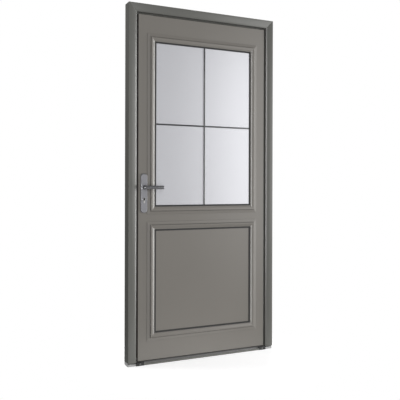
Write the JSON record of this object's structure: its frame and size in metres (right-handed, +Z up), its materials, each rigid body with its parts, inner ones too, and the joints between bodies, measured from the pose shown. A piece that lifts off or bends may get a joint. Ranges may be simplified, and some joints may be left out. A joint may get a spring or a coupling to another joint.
{
  "type": "half-glazed entrance door with frame",
  "caption": "Grey half-glazed entrance door in its frame, with moulded lower panel, frosted glass with cross bars, lever handle on a long plate and low threshold.",
  "frame": {"origin": "middle of the threshold's underside, in the middle of the frame's depth", "axes": "+X to the right as seen from outside, +Y into the building, +Z up"},
  "size_m": [0.99, 0.2006, 2.15],
  "materials": {
    "door_paint": "fine satin powder coat, warm mid grey",
    "sill_aluminium": "natural anodised",
    "black_rubber": "matt black",
    "black_plastic": "moulded, fine grain",
    "clear_glass": "clear, polished",
    "frosted_glass": "sand-blasted, white",
    "spacer_metal": "mill finish",
    "bar_paint": "satin dark grey",
    "satin_steel": "satin brushed",
    "hinge_metal": "satin powder coat",
    "lock_steel": "nickel plated",
    "sweep_brush": "black bristle"
  },
  "bodies": {
    "frame": {"latch_jamb": "door_paint", "hinge_jamb": "door_paint", "frame_head": "door_paint", "latch_jamb_seal": "black_rubber", "hinge_jamb_seal": "black_rubber", "head_seal": "black_rubber", "threshold": "sill_aluminium", "threshold_nosing": "door_paint", "threshold_end_blocks": "black_plastic", "strike_plate": "lock_steel", "lower_hinge_frame_half": "hinge_metal", "middle_hinge_frame_half": "hinge_metal", "upper_hinge_frame_half": "hinge_metal"},
    "leaf": {"latch_stile": "door_paint", "hinge_stile": "door_paint", "top_rail": "door_paint", "mid_rail": "door_paint", "bottom_rail": "door_paint", "bottom_sweep": "sweep_brush", "lower_panel": "door_paint", "outer_pane": "frosted_glass", "frosted_pane": "frosted_glass", "inner_pane": "clear_glass", "glazing_spacers": "spacer_metal", "glazing_bars": "bar_paint", "glass_gaskets": "black_rubber", "panel_gaskets": "black_rubber", "outer_backplate": "satin_steel", "inner_backplate": "satin_steel", "lock_barrel": "lock_steel", "lock_faceplate": "lock_steel", "lock_bolts": "lock_steel", "outer_glass_moulding_uprights": "door_paint", "outer_glass_moulding_crosspieces": "door_paint", "outer_panel_moulding_uprights": "door_paint", "outer_panel_moulding_crosspieces": "door_paint", "inner_glass_moulding_uprights": "door_paint", "inner_glass_moulding_crosspieces": "door_paint", "inner_panel_moulding_uprights": "door_paint", "inner_panel_moulding_crosspieces": "door_paint", "lower_hinge_leaf_half": "hinge_metal", "middle_hinge_leaf_half": "hinge_metal", "upper_hinge_leaf_half": "hinge_metal"},
    "handle": {"outer_lever": "satin_steel", "inner_lever": "satin_steel", "spindle": "lock_steel"}
  },
  "joints": [
    {"name": "leaf_swing", "type": "hinge", "parent": "frame", "child": "leaf", "pos_m": [0.455, 0.055, 1.057], "axis": [0, 0, -1], "range_deg": [0, 100]},
    {"name": "lever_turn", "type": "hinge", "parent": "leaf", "child": "handle", "pos_m": [-0.397, 0.01, 1.058], "axis": [0, 1, 0], "range_deg": [0, 40], "stiffness_Nm_per_rad": 1.5, "springref_deg": -28.65}
  ]
}
